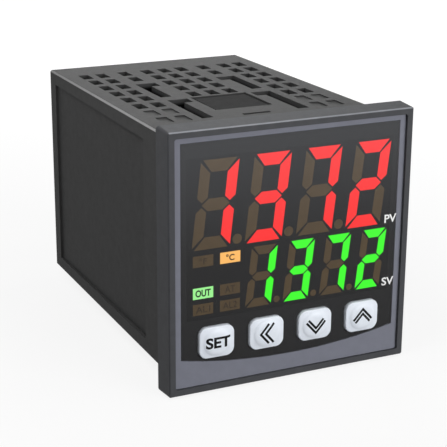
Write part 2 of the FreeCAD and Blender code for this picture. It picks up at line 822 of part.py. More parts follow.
def draw_slopes(sketch):
    """Side view of the slivers that come off above and below, where the case draws in."""
    front, rear = surface("-case_sink"), surface("case_depth")
    for side in ("-1", "1"):
        outline(sketch, [("-case_sink", f"{side} * {front}"), ("case_depth", f"{side} * {rear}"),
                         ("case_depth", f"{side} * {front}")])


def make_case():
    """The case: a vented tube that draws in towards its rear wall, with racks and slots."""
    body = new_body("case")
    front, rear = surface("-case_sink"), surface("case_depth")
    extrude(body, "plan", "Z", f"-{front}", front, lambda sketch: outline(sketch, [
        (f"-{front}", "-case_sink"), (front, "-case_sink"), (rear, "case_depth"),
        (f"-{rear}", "case_depth")]))
    block = extrude(body, "top_and_bottom", "X", f"-{front}", front, draw_slopes, cut=True)
    depth = value("case_depth")
    bevel_edges(body, "outer_edges", block, "case_edge",
                lambda box: box.YMin > depth - 0.01 or box.YLength > depth)
    extrude(body, "hollow", "Y", "-case_sink", REAR_INSIDE, lambda sketch: centred_rectangle(
        sketch, "0", "0", f"2 * {CASE_INSIDE}", f"2 * {CASE_INSIDE}"), cut=True)
    extrude(body, "rails", "Y", BOARD_BACK, "rail_end", draw_rails)
    extrude(body, "terminal_windows", "Y", REAR_INSIDE, "case_depth", draw_terminal_windows, cut=True)
    through_case(body, "latch_slit", lambda sketch: centred_rectangle(
        sketch, "0", "latch_place + latch_slit / 2", "latch_width + 2 * latch_fit", "latch_slit"))
    side_floor = f"({surface(PANEL_REAR)} - panel_sink)"
    cut_both_faces(body, "side_panel", "X", side_floor, lambda sketch: rectangle(
        sketch, "panel_front", "-panel_height / 2", PANEL_REAR, "panel_height / 2"))
    rack_floor = f"({surface('rack_start')} - rack_sink)"
    cut_both_faces(body, "rack", "Z", rack_floor, lambda sketch: rectangle(
        sketch, "-rack_width / 2", "rack_start", "rack_width / 2", "rack_end"))
    extrude(body, "rack_teeth", "X", "tooth_margin - rack_width / 2",
            "rack_width / 2 - tooth_margin", draw_teeth)
    cut_vents(body)
    return body


# ---------------------------------------------------------------- terminals

def draw_terminal_windows(sketch):
    for side in ("-1", "1"):
        rectangle(sketch, f"{side} * (block_inner - block_fit)", f"-({BLOCK_HALF} + block_fit)",
                  f"{side} * (block_outer + block_fit)", f"{BLOCK_HALF} + block_fit")


FIRST_TERMINAL = f"((1 - {TERMINALS_A_SIDE}) / 2 * terminal_pitch)"
SCREW_OPENING = "(screw_width + 2 * screw_fit)"


def make_terminal_block(hand, side):
    """A barrier block with six pockets, held behind the rear wall by its flange."""
    body = new_body(f"terminal_block_{hand}")
    extrude(body, "block", "Y", BLOCK_FRONT, "case_depth", lambda sketch: rectangle(
        sketch, f"{side} * block_inner", f"-{BLOCK_HALF}", f"{side} * block_outer", BLOCK_HALF))
    extrude(body, "flange", "Y", f"{REAR_INSIDE} - block_flange_thick", REAR_INSIDE,
            lambda sketch: rectangle(sketch, f"{side} * (block_inner - block_flange)",
                                     f"-({BLOCK_HALF} + block_flange)",
                                     f"{side} * (block_outer + block_flange)",
                                     f"{BLOCK_HALF} + block_flange"))
    pocket = extrude(body, "pocket", "Y", POCKET_FLOOR, "case_depth", lambda sketch: rectangle(
        sketch, f"{side} * (block_inner + block_wall)",
        f"{FIRST_TERMINAL} - (terminal_pitch - barrier_wall) / 2",
        f"{side} * (side_board_face + tail_fit)",
        f"{FIRST_TERMINAL} + (terminal_pitch - barrier_wall) / 2"), cut=True)
    repeat(body, "pockets", pocket, "Z", "terminal_pitch", TERMINALS_A_SIDE)
    well = extrude(body, "screw_well", "Y", f"{CLAMP_REAR} - screw_length - well_spare", POCKET_FLOOR,
                   lambda sketch: centred_rectangle(sketch, f"{side} * screw_place", FIRST_TERMINAL,
                                                    SCREW_OPENING, SCREW_OPENING), cut=True)
    repeat(body, "screw_wells", well, "Z", "terminal_pitch", TERMINALS_A_SIDE)
    slot = extrude(body, "tail_slot", "Y", BLOCK_FRONT, POCKET_FLOOR, lambda sketch: rectangle(
        sketch, f"{side} * (side_board_face - contact_thick - tail_fit)",
        f"{FIRST_TERMINAL} - tail_width / 2 - tail_fit", f"{side} * (side_board_face + tail_fit)",
        f"{FIRST_TERMINAL} + tail_width / 2 + tail_fit"), cut=True)
    repeat(body, "tail_slots", slot, "Z", "terminal_pitch", TERMINALS_A_SIDE)
    return body


def fill_both_sides(body):
    """Repeat one terminal's piece up its block and mirror the column to the other block."""
    repeat(body, "column", None, "Z", "terminal_pitch", TERMINALS_A_SIDE, whole=True)
    mirror_whole(body, "both_blocks", "YZ_Plane")


def make_contacts():
    """Bent contact plates: a tongue under each screw and a tail soldered to the side board."""
    body = new_body("terminal_contacts")
    inner = "(block_inner + block_wall + 2 * tail_fit)"
    extrude(body, "tongue", "Y", POCKET_FLOOR, CONTACT_REAR, lambda sketch: rectangle(
        sketch, inner, f"{FIRST_TERMINAL} - contact_width / 2",
        "side_board_face", f"{FIRST_TERMINAL} + contact_width / 2"))
    extrude(body, "tail", "Y", f"{BLOCK_FRONT} - tail_reach", POCKET_FLOOR, lambda sketch: rectangle(
        sketch, "side_board_face - contact_thick", f"{FIRST_TERMINAL} - tail_width / 2",
        "side_board_face", f"{FIRST_TERMINAL} + tail_width / 2"))
    extrude(body, "screw_opening", "Y", POCKET_FLOOR, CONTACT_REAR, lambda sketch: centred_rectangle(
        sketch, "screw_place", FIRST_TERMINAL, SCREW_OPENING, SCREW_OPENING), cut=True)
    fill_both_sides(body)
    return body


def make_clamps():
    """Square clamp washers under the screw heads."""
    body = new_body("terminal_clamps")
    extrude(body, "washer", "Y", CONTACT_REAR, CLAMP_REAR, lambda sketch: centred_rectangle(
        sketch, "screw_place", FIRST_TERMINAL, "clamp_side", "clamp_side"))
    extrude(body, "screw_opening", "Y", CONTACT_REAR, CLAMP_REAR, lambda sketch: centred_rectangle(
        sketch, "screw_place", FIRST_TERMINAL, SCREW_OPENING, SCREW_OPENING), cut=True)
    fill_both_sides(body)
    return body


def make_screws():
    """Terminal screws with flat round heads."""
    body = new_body("terminal_screws")
    head_rear = f"({CLAMP_REAR} + screw_head_height)"
    extrude(body, "shank", "Y", f"{CLAMP_REAR} - screw_length", CLAMP_REAR, lambda sketch: polygon(
        sketch, "screw_place", FIRST_TERMINAL, "screw_width", SHANK_SIDES))
    extrude(body, "head", "Y", CLAMP_REAR, head_rear, lambda sketch: circle(
        sketch, "screw_place", FIRST_TERMINAL, "screw_head_width"))
    fill_both_sides(body)
    return body


# ---------------------------------------------------------------- circuit boards and their parts

def make_display_board():
    """The board behind the display, notched where the latches pass."""
    body = new_body("display_board")
    extrude(body, "board", "Y", BOARD_FRONT, BOARD_BACK, lambda sketch: centred_rectangle(
        sketch, "0", "0", "display_board_side", "display_board_side"))
    notch_floor = f"({SPIGOT_OUTSIDE} - latch_thick - latch_fit)"

    def draw_notches(sketch):
        for side in ("-1", "1"):
            rectangle(sketch, "-latch_width / 2 - latch_fit", f"{side} * {notch_floor}",
                      "latch_width / 2 + latch_fit", f"{side} * (display_board_side / 2 + 1)")

    extrude(body, "notches", "Y", BOARD_FRONT, BOARD_BACK, draw_notches, cut=True)
    return body


def make_side_board(name, side):
    """A board that runs back between the rails to its terminal block."""
    body = new_body(name)
    half, cut_off = "(side_board_height / 2)", "side_board_corner"
    faces = ("side_board_face", BOARD_OUTER_FACE)
    low, high = faces if side > 0 else (f"-{faces[1]}", f"-{faces[0]}")
    extrude(body, "board", "X", low, high, lambda sketch: outline(sketch, [
        (f"{BOARD_BACK} + {cut_off}", f"-{half}"), (BLOCK_FRONT, f"-{half}"),
        (BLOCK_FRONT, half), (f"{BOARD_BACK} + {cut_off}", half),
        (BOARD_BACK, f"{half} - {cut_off}"), (BOARD_BACK, f"-({half} - {cut_off})")]))
    return body


def on_side_board(name, side, height, draw, edge=None):
    """A component that stands on the inner face of a side board."""
    body = new_body(name)
    low, high = (f"side_board_face - ({height})", "side_board_face")
    if side < 0:
        low, high = (f"-({high})", f"-({low})")
    block = extrude(body, "shell", "X", low, high, draw)
    if edge:
        reach = value("side_board_face") - value(height)
        bevel_edges(body, "top_edge", block, edge,
                    lambda box: max(abs(box.XMin), abs(box.XMax)) < reach + 0.01)
    return body


def make_headers():
    """Header strips that join the display board to each side board."""
    bodies = []
    for name, side in (("control_board_header", -1), ("power_board_header", 1)):
        bodies.append(on_side_board(name, side, "header_thick", lambda sketch: rectangle(
            sketch, BOARD_BACK, "-header_width / 2", f"{BOARD_BACK} + header_thick",
            "header_width / 2")))
    return bodies


def make_relays():
    """The output relay on the power board and the two alarm relays on the control board."""
    relays = []
    for name, side, level in (("output_relay", 1, "relay_pitch / 2"),
                              ("alarm_relay_one", -1, "relay_pitch / 2"),
                              ("alarm_relay_two", -1, "-relay_pitch / 2")):
        relays.append(on_side_board(name, side, "relay_height", lambda sketch: centred_rectangle(
            sketch, f"({RELAY_FRONT} + {RELAY_REAR}) / 2", level, "relay_width", "relay_length"),
            "relay_edge"))
    return relays


def make_can(name):
    """An electrolytic capacitor: a can that stands on the power board."""
    return on_side_board(f"{name}_capacitor", 1, f"{name}_can_height", lambda sketch: circle(
        sketch, CAN_PLACES[name], f"{name}_can_level", f"{name}_can_width"))


def make_transformer():
    """The switching transformer: a two-window ferrite core and the coil round its middle leg."""
    core = new_body("transformer_core")
    low = "side_board_face - core_lift - core_thick"
    high = "side_board_face - core_lift"
    level = "transformer_level"
    window_height = "((core_width - core_leg * 2) / 2)"
    window_length = "(core_length - core_leg)"
    offset = f"({window_height} / 2 + core_leg / 2)"

    def draw_core(sketch):
        centred_rectangle(sketch, "transformer_place", level, "core_length", "core_width")
        for side in ("-1", "1"):
            centred_rectangle(sketch, "transformer_place", f"{level} + {side} * {offset}",
                              window_length, window_height)

    extrude(core, "core", "X", low, high, draw_core)
    coil = new_body("transformer_coil")
    inner_length = f"({window_length} - 2 * coil_fit)"
    outer_height = f"(core_leg + 2 * {window_height} - 2 * coil_fit)"

    extrude(coil, "winding", "X", f"{low} - coil_flange", "side_board_face",
            lambda sketch: centred_rectangle(sketch, "transformer_place", level, inner_length,
                                             outer_height))
    extrude(coil, "leg_hole", "X", f"{low} - coil_fit", f"{high} + coil_fit",
            lambda sketch: centred_rectangle(sketch, "transformer_place", level,
                                             f"{inner_length} + 1", "core_leg + 2 * coil_fit"), cut=True)
    return [core, coil]


def make_board_parts():
    """What the boards carry besides relays, capacitors and the transformer."""
    controller = on_side_board("controller_chip", -1, "chip_thick", lambda sketch: centred_rectangle(
        sketch, "chip_place", "0", "chip_side", "chip_side"))
    crystal = on_side_board("timing_crystal", -1, "crystal_thick", lambda sketch: rounded_rectangle(
        sketch, "chip_place", "crystal_level", "crystal_length", "crystal_width", "crystal_end"))
    rectifier = on_side_board("bridge_rectifier", 1, "rectifier_thick",
                              lambda sketch: centred_rectangle(
                                  sketch, "rectifier_place", "rectifier_level", "rectifier_side",
                                  "rectifier_side"))
    driver = new_body("display_driver_chip")
    extrude(driver, "package", "Y", BOARD_BACK, f"{BOARD_BACK} + driver_thick",
            lambda sketch: centred_rectangle(sketch, "0", "0", "driver_length", "driver_width"))
    return [controller, crystal, rectifier, driver]


# ---------------------------------------------------------------- the whole controller

parts = [make_case(), make_bezel(), make_face_sheet(), make_window()]
for key_index, key_name in enumerate(KEYS):
    parts.append(make_key(key_name, key_index))
    parts += make_switch(key_name, key_index)
parts.append(make_module())
for display_row in ("pv", "sv"):
    parts.append(make_segments(display_row, lit=True))
    parts.append(make_segments(display_row, lit=False))
parts += make_lamps()
parts += [make_terminal_block("left", -1), make_terminal_block("right", 1)]
parts += [make_contacts(), make_clamps(), make_screws()]
parts += [make_display_board(), make_side_board("control_board", -1), make_side_board("power_board", 1)]
parts += make_headers()
parts += make_relays()
parts += [make_can("input"), make_can("output")]
parts += make_transformer()
parts += make_board_parts()

doc.recompute()
for item in doc.Objects:
    if "Invalid" in item.State or "Error" in item.State:
        raise RuntimeError(f"{item.Name} is {item.State}")
for part in parts:
    if part.Shape.isNull() or not part.Shape.isValid():
        raise RuntimeError(f"{part.Label} has no valid shape")
os.makedirs("parts", exist_ok=True)
for part in parts:
    part.Shape.exportStep(f"parts/{part.Label}.step")
    print(f"{part.Label}: {len(part.Shape.Solids)} solid(s), {part.Shape.Volume:.1f} mm3")
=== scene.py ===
import math

import bmesh
import bpy
from mathutils import Matrix, Vector


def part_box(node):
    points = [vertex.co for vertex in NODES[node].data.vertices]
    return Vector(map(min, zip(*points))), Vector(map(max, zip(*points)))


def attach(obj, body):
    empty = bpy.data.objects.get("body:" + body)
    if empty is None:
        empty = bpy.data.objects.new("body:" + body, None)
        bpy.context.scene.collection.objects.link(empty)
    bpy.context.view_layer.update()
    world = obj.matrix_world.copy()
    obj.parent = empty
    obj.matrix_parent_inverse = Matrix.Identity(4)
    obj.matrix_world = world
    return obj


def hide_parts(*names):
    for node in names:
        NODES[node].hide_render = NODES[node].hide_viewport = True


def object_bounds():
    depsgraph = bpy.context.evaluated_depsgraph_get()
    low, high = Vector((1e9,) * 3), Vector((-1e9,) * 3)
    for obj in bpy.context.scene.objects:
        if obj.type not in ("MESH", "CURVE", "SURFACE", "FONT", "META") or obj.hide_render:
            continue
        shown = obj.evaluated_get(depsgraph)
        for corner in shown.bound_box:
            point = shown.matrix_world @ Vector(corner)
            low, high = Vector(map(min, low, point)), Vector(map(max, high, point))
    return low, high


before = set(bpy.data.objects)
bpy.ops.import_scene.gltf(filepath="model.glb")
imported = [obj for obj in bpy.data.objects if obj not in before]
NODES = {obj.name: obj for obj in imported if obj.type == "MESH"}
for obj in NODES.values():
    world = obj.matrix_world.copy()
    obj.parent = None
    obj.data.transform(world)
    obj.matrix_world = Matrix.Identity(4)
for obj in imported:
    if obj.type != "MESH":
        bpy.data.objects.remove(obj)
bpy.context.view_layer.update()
MM = 0.001
BODY = "controller"
KEYS = ("set", "shift", "down", "up")


# ---------------------------------------------------------------- colours and materials

def linear(*srgb):
    """A colour written as 0-255 screen values, as the shader's linear numbers."""
    return tuple((c / 255 / 12.92) if c <= 10 else ((c / 255 + 0.055) / 1.055) ** 2.4
                 for c in srgb) + (1.0,)


def new_material(name):
    material = bpy.data.materials.new(name)
    material.use_nodes = True
    tree = material.node_tree
    return material, tree, tree.nodes["Principled BSDF"]


def feed(tree, socket, value):
    """Link the socket to a node's output, or set it to a plain value."""
    if isinstance(value, bpy.types.NodeSocket):
        tree.links.new(value, socket)
    else:
        socket.default_value = value


def add_node(tree, kind, **sockets):
    """A new node with its sockets fed; an underscore in a name stands for a space."""
    node = tree.nodes.new(kind)
    for name, value in sockets.items():
        feed(tree, node.inputs[name.replace("_", " ")], value)
    return node


def calculate(tree, operation, *values):
    """The output of a math node."""
    node = tree.nodes.new("ShaderNodeMath")
    node.operation = operation
    for socket, value in zip(node.inputs, values):
        feed(tree, socket, value)
    return node.outputs[0]


def between(tree, value, levels, results=(0.0, 1.0)):
    """Carry a value between two levels over to two results, and hold it beyond them."""
    spread = add_node(tree, "ShaderNodeMapRange", Value=value, From_Min=levels[0],
                      From_Max=levels[1], To_Min=results[0], To_Max=results[1])
    return spread.outputs["Result"]


def mix_colours(tree, blend, factor, first, second):
    mix = tree.nodes.new("ShaderNodeMix")
    mix.data_type = "RGBA"
    mix.blend_type = blend
    for name, value in (("Factor", factor), ("A", first), ("B", second)):
        feed(tree, mix.inputs[name], value)
    return mix.outputs["Result"]


def colour_ramp(tree, value, colours, start=0.0, end=1.0):
    """A colour that runs evenly through the colours as the value goes from start to end."""
    ramp = tree.nodes.new("ShaderNodeValToRGB")
    elements = ramp.color_ramp.elements
    last = len(colours) - 1
    for index in range(1, last):
        elements.new(index / last)
    for index, colour in enumerate(colours):
        elements[index].position = start + (end - start) * index / last
        elements[index].color = colour
    tree.links.new(value, ramp.inputs["Fac"])
    return ramp.outputs["Color"]


def scaled(colour, factor):
    return tuple(min(1.0, c * factor) for c in colour[:3]) + (1.0,)


def object_place(tree):
    """X, Y and Z of the shaded point in the object's own frame."""
    place = tree.nodes.new("ShaderNodeTexCoord")
    split = add_node(tree, "ShaderNodeSeparateXYZ", Vector=place.outputs["Object"])
    return split.outputs


def noise(tree, per_mm, detail=2.0):
    """Object-space noise with about per_mm blotches in each millimetre."""
    place = tree.nodes.new("ShaderNodeTexCoord")
    texture = add_node(tree, "ShaderNodeTexNoise", Vector=place.outputs["Object"],
                       Scale=per_mm / MM, Detail=detail)
    return texture.outputs["Fac"]


def vary_colour(tree, shader, colour, spread, per_mm):
    """Let the colour drift a little lighter and darker over the surface."""
    shades = [scaled(colour, 1 - spread), scaled(colour, 1 + spread)]
    drift = colour_ramp(tree, noise(tree, per_mm), shades, start=0.3, end=0.7)
    tree.links.new(drift, shader.inputs["Base Color"])


def vary_roughness(tree, shader, low, high, per_mm):
    drift = between(tree, noise(tree, per_mm), (0.0, 1.0), (low, high))
    tree.links.new(drift, shader.inputs["Roughness"])


def add_grain(tree, shader, per_mm, depth_mm, detail=3.0):
    """Fine bumps of the given depth."""
    bump = add_node(tree, "ShaderNodeBump", Strength=1.0, Distance=depth_mm * MM,
                    Height=noise(tree, per_mm, detail))
    tree.links.new(bump.outputs["Normal"], shader.inputs["Normal"])


BEVEL_LEVELS = (0.42, 0.48)     # two parts of a 45 degree bevel's normal multiply to a half
# only bevels that face up, towards the lamps above, get the painted highlight
UPWARD_LEVELS = (0.3, 0.6)


def highlight_mask(tree, axes):
    """One on the bevels that face up between the two axes given, where the painted highlight goes,
    and zero on every other face.
    """
    facing = tree.nodes.new("ShaderNodeNewGeometry")
    split = add_node(tree, "ShaderNodeSeparateXYZ", Vector=facing.outputs["True Normal"])
    product = calculate(tree, "MULTIPLY", *[split.outputs[axis] for axis in axes])
    bevel = between(tree, calculate(tree, "ABSOLUTE", product), BEVEL_LEVELS)
    upward = between(tree, split.outputs["Z"], UPWARD_LEVELS)
    return calculate(tree, "MULTIPLY", bevel, upward)


def paint_edge_highlights(tree, shader, axes, highlight_gain, roughness):
    """Bevels that face up get a painted highlight, their colour multiplied paler, and are glossier
    than the grained faces.
    """
    mask = highlight_mask(tree, axes)
    colour, gloss = shader.inputs["Base Color"], shader.inputs["Roughness"]
    # the colour is multiplied up on the mask: a painted highlight
    paler = mix_colours(tree, "MULTIPLY", mask, colour.links[0].from_socket,
                        (highlight_gain, highlight_gain, highlight_gain, 1.0))
    glossier = between(tree, mask, (0.0, 1.0), (gloss.links[0].from_socket, roughness))
    tree.links.new(paler, colour)
    tree.links.new(glossier, gloss)


def darken_inside(material, node, start_mm, end_mm, darkest):
    """Take the colour down behind a node's outer faces, where the openings' walls see no light."""
    tree = material.node_tree
    colour = tree.nodes["Principled BSDF"].inputs["Base Color"]
    low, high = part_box(node)
    place = object_place(tree)
    faces = (("X", low.x, 1), ("X", high.x, -1), ("Z", low.z, 1), ("Z", high.z, -1),
             ("Y", high.y, -1))
    depths = [calculate(tree, "MULTIPLY_ADD", place[axis], sign, -sign * face)
              for axis, face, sign in faces]
    depth = depths[0]
    for other in depths[1:]:
        depth = calculate(tree, "MINIMUM", depth, other)
    shade = between(tree, depth, (start_mm * MM, end_mm * MM), (1.0, darkest))
    darker = mix_colours(tree, "MULTIPLY", 1.0, colour.links[0].from_socket, shade)
    tree.links.new(darker, colour)


GLOSS_DRIFT = 0.06


def moulded(name, colour, roughness=0.5, spread=0.06, grain=4.0, depth=0.012, specular=0.5,
            edges=None):
    """Moulded plastic: a drifting colour, uneven gloss and a fine spark-eroded grain."""
    material, tree, shader = new_material(name)
    shader.inputs["Specular IOR Level"].default_value = specular
    vary_colour(tree, shader, linear(*colour), spread, per_mm=0.6)
    vary_roughness(tree, shader, roughness - GLOSS_DRIFT, roughness + GLOSS_DRIFT, per_mm=1.5)
    add_grain(tree, shader, grain, depth)
    # edges paints a highlight on the bevels that face up and makes them glossier
    if edges:
        paint_edge_highlights(tree, shader, **edges)
    return material


def metal(name, colour, roughness):
    material, tree, shader = new_material(name)
    shader.inputs["Metallic"].default_value = 1.0
    vary_colour(tree, shader, linear(*colour), spread=0.12, per_mm=1.2)
    vary_roughness(tree, shader, low=roughness - 0.08, high=roughness + 0.12, per_mm=2.5)
    add_grain(tree, shader, per_mm=6.0, depth_mm=0.004)
    return material


WINDOW_TINT = 0.2       # what each of the pane's two faces holds back
WINDOW_VEIL = 0.05      # what the pane's painted reflection adds to everything seen through it
# colours of the painted reflection on the pane's front
WINDOW_REFLECTION_TONES = ((88, 88, 89), (104, 104, 105), (150, 152, 156))     # bottom, middle, top
LAMP_PAINT = 0.1        # how much of its glow's colour a lamp's own surface has
LAMP_DRIFT = 0.04


def glowing(name, colour):
    """A lit segment or lamp behind the window, a touch dimmer in patches as a diffused LED is."""
    material, tree, shader = new_material(name)
    colour = linear(*colour)
    shader.inputs["Base Color"].default_value = scaled(colour, LAMP_PAINT)
    shader.inputs["Roughness"].default_value = 0.6
    glow = tuple(max(0.0, c - WINDOW_VEIL) for c in colour[:3])
    shades = [scaled(glow, 1 - LAMP_DRIFT), scaled(glow, 1.0)]
    tree.links.new(colour_ramp(tree, noise(tree, 0.5), shades), shader.inputs["Emission Color"])
    shader.inputs["Emission Strength"].default_value = 1 / (1 - WINDOW_TINT) ** 2
    return material


def smoked_window():
    """The tinted pane: most light passes, and its front carries a painted reflection that is paler
    towards the top.
    """
    material, tree, shader = new_material("smoked_window")
    low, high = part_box("display_window")
    place = object_place(tree)
    rise = between(tree, place["Z"], (low.z, high.z))
    # painted reflection: the pane's front runs from darker at the bottom to paler at the top
    painted_reflection = colour_ramp(tree, rise, [linear(*tone) for tone in WINDOW_REFLECTION_TONES])
    front = between(tree, place["Y"], (low.y, high.y), (1.0, 0.0))
    black = (0.0, 0.0, 0.0, 1.0)
    tree.links.new(mix_colours(tree, "MIX", front, black, painted_reflection), shader.inputs["Base Color"])
    vary_roughness(tree, shader, low=0.2, high=0.26, per_mm=0.4)
    shader.inputs["Specular IOR Level"].default_value = 0.1
    shader.inputs["Alpha"].default_value = WINDOW_TINT
    return material


def circuit_board():
    """Green solder mask with paler copper tracks under it."""
    material, tree, shader = new_material("board_green")
    place = tree.nodes.new("ShaderNodeTexCoord")
    tracks = add_node(tree, "ShaderNodeTexBrick", Vector=place.outputs["Object"],
                      Scale=0.35 / MM, Mortar_Size=0.03, Color1=linear(16, 72, 40),
                      Color2=linear(20, 84, 46), Mortar=linear(70, 132, 74))
    tree.links.new(tracks.outputs["Color"], shader.inputs["Base Color"])
    vary_roughness(tree, shader, low=0.28, high=0.42, per_mm=1.0)
    add_grain(tree, shader, per_mm=3.0, depth_mm=0.01)
    return material


# Colours are screen values; grain is in bumps per millimetre and depth in millimetres.
PRINT = dict(roughness=0.6, spread=0.1, grain=5.0, depth=0.001, specular=0.1)
PLASTICS = {
    # the edges entries paint a highlight on the bevels that face up
    "case_plastic": dict(colour=(72, 72, 72), roughness=0.6, depth=0.02, specular=0.05,
                         edges=dict(axes="XZ", highlight_gain=5.0, roughness=0.25)),
    "bezel_plastic": dict(colour=(72, 73, 76), specular=0.08,
                          edges=dict(axes="YZ", highlight_gain=4.0, roughness=0.22)),
    "sheet_grey": dict(colour=(121, 123, 134), spread=0.03, grain=3.0, depth=0.004,
                       specular=0.1),
    "key_white": dict(colour=(232, 238, 247), roughness=0.38, spread=0.02, grain=2.5,
                      depth=0.003, specular=0.3),
    "module_black": dict(colour=(20, 20, 21), roughness=0.6, spread=0.1, grain=2.0,
                         depth=0.003, specular=0.1),
    "segment_dark": dict(colour=(116, 94, 61), roughness=0.6, spread=0.05, grain=2.0,
                         depth=0.003, specular=0.1),
    "switch_black": dict(colour=(40, 40, 42)),
    "terminal_plastic": dict(colour=(36, 37, 38), depth=0.015),
    "relay_blue": dict(colour=(22, 44, 84), roughness=0.4),
    "chip_black": dict(colour=(30, 30, 32), roughness=0.55),
    "capacitor_sleeve": dict(colour=(28, 30, 42), roughness=0.32),
    "ferrite": dict(colour=(48, 46, 45), roughness=0.6, spread=0.15, grain=5.0, depth=0.03),
    "coil_tape": dict(colour=(196, 160, 52), roughness=0.35, spread=0.08),
    "print_shadow": dict(PRINT, colour=(72, 58, 42)),
    "print_white": dict(colour=(240, 240, 240), spread=0.02, grain=5.0, depth=0.001),
    "print_black": dict(PRINT, colour=(12, 12, 14)),
}
METALS = {
    "zinc_plated": dict(colour=(196, 199, 203), roughness=0.32),
    "tinned_brass": dict(colour=(206, 202, 190), roughness=0.36),
    "crystal_can": dict(colour=(200, 200, 202), roughness=0.25),
}
GLOWS = {
    "segment_red": (255, 44, 38),
    "segment_green": (76, 255, 0),
    "lamp_orange": (254, 190, 110),
    "lamp_green": (160, 243, 150),
}
MATERIALS = {
    "smoked_window": smoked_window(),
    "board_green": circuit_board(),
    **{name: moulded(name, **look) for name, look in PLASTICS.items()},
    **{name: metal(name, **look) for name, look in METALS.items()},
    **{name: glowing(name, colour) for name, colour in GLOWS.items()},
}
darken_inside(MATERIALS["case_plastic"], "case", start_mm=0.7, end_mm=1.3, darkest=0.05)


def dress_nodes():
    """Give each CAD node the scene's material for the slot that the record names."""
    for node in NODES.values():
        for index, material in enumerate(node.data.materials):
            node.data.materials[index] = MATERIALS[material.name.split(".")[0]]


# ---------------------------------------------------------------- pieces


def add_object(name, data):
    """A new object in the scene."""
    item = bpy.data.objects.new(name, data)
    bpy.context.scene.collection.objects.link(item)
    return item


def add_piece(name, mesh, material, body=BODY, smooth=30):
    """A mesh object that rides on a body, shaded smooth across edges under an angle in degrees."""
    piece = add_object(name, mesh)
    mesh.materials.clear()
    mesh.materials.append(MATERIALS[material])
    mesh.shade_smooth()
    mesh.set_sharp_from_angle(angle=math.radians(smooth))
    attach(piece, body)
    return piece


def as_mesh(shape, name):
    """Write a bmesh out as a new mesh, and free it."""
    mesh = bpy.data.meshes.new(name)
    shape.to_mesh(mesh)
    shape.free()
    return mesh


def turn_outwards(shape):
    bmesh.ops.recalc_face_normals(shape, faces=shape.faces[:])


def extrude_flat(shape, depth):
    """Give flat faces that face along Y a depth behind them, in millimetres."""
    grown = bmesh.ops.extrude_face_region(shape, geom=shape.faces[:])
    moved = [item for item in grown["geom"] if isinstance(item, bmesh.types.BMVert)]
    bmesh.ops.translate(shape, verts=moved, vec=(0, depth * MM, 0))
    turn_outwards(shape)


def circle(radius, steps):
    """Points (x, z) evenly round a circle."""
    return [(radius * math.cos(2 * math.pi * step / steps),
             radius * math.sin(2 * math.pi * step / steps)) for step in range(steps)]


def stitch(shape, near, far, steps):
    """Faces between two closed loops of vertices; a loop of one vertex is a pole."""
    for step in range(steps):
        following = (step + 1) % steps
        corners = [near[step % len(near)], near[following % len(near)],
                   far[following % len(far)], far[step % len(far)]]
        shape.faces.new(list(dict.fromkeys(corners)))


def shown_mesh(carrier):
    """A mesh of what an object shows, curves and modifiers included."""
    return bpy.data.meshes.new_from_object(carrier.evaluated_get(
        bpy.context.evaluated_depsgraph_get()))


def box_middle(name):
    """The middle of a CAD node's box, in millimetres."""
    low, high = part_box(name)
    return (low + high) / 2 / MM


def text_mesh(text, bold=0.0):
    """A flat mesh of the words in the XY plane, about one unit high."""
    curve = bpy.data.curves.new(text, "FONT")
    curve.body = text
    curve.offset = bold
    curve.resolution_u = 6
    carrier = add_object(text, curve)
    mesh = shown_mesh(carrier)
    bpy.data.objects.remove(carrier)
    return mesh


def fit_flat(mesh, width, height, x, z, y, rear=False):
    """Scale a flat XY mesh to width and height and stand it at (x, z), facing the front or rear."""
    xs = [vertex.co.x for vertex in mesh.vertices]
    ys = [vertex.co.y for vertex in mesh.vertices]
    middle_x, middle_y = (min(xs) + max(xs)) / 2, (min(ys) + max(ys)) / 2
    scale_x, scale_y = width / (max(xs) - min(xs)), height / (max(ys) - min(ys))
    turn = -1 if rear else 1
    for vertex in mesh.vertices:
        vertex.co = Vector((x + turn * (vertex.co.x - middle_x) * scale_x, y,
                            z + (vertex.co.y - middle_y) * scale_y)) * MM


def thicken(mesh, depth):
    """Give a flat mesh that faces along Y a depth behind its face, in millimetres."""
    shape = bmesh.new()
    shape.from_mesh(mesh)
    extrude_flat(shape, depth)
    shape.to_mesh(mesh)
    shape.free()


def lettering(name, text, width, height, x, z, y, material, bold, depth):
    """Printed words on a plane that faces the front."""
    mesh = text_mesh(text, bold)
    fit_flat(mesh, width, height, x, z, y)
    thicken(mesh, depth)
    return add_piece(name, mesh, material)


# ---------------------------------------------------------------- keys

KEY_CORNER = 1.55
KEY_FLANGE = 0.6        # how far the hidden flange reaches past the cap on every side
KEY_BACK = -2.1         # the cap ends where its flange begins, behind the front wall
KEY_STEPS = 96
EDGE_ROLL = 0.25
ROLL_STEPS = 5
DOME_RADIUS = 2.6
DOME_RISE = 0.34
DOME_RINGS = (1.0, 0.985, 0.95, 0.88, 0.78, 0.64, 0.48, 0.3, 0.12)
LEGEND_LIFT = 0.012
LEGEND_EDGE = 0.35      # edges longer than this are halved before a legend bends on the dome
LEGEND_HALVINGS = 3
SET_SIZE = (4.75, 2.07)
SET_SHIFT = 0.15
SET_BOLD = 0.035
STROKE_WIDTH = 0.42
SIDE_TIPS = (-1.35, -0.35)
SIDE_DEPTH = 1.6
SIDE_HALF = 1.85
UPRIGHT_CHEVRONS = ((1.5, 1.9, 2.1), (0.6, 1.5, 1.65))      # tip, half width and depth


def key_halves(name):
    low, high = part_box(f"key_{name}")
    return ((high.x - low.x) / 2 / MM - KEY_FLANGE, (high.z - low.z) / 2 / MM - KEY_FLANGE)


def key_face(name):
    """The level of the cap's flat rim along Y."""
    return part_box(f"key_{name}")[0].y / MM + DOME_RISE


def dome_lift(x, z):
    """How far the dome stands in front of the cap's face at (x, z) from the key's middle."""
    return DOME_RISE * max(0.0, 1 - ((x * x + z * z) / DOME_RADIUS ** 2) ** 3)


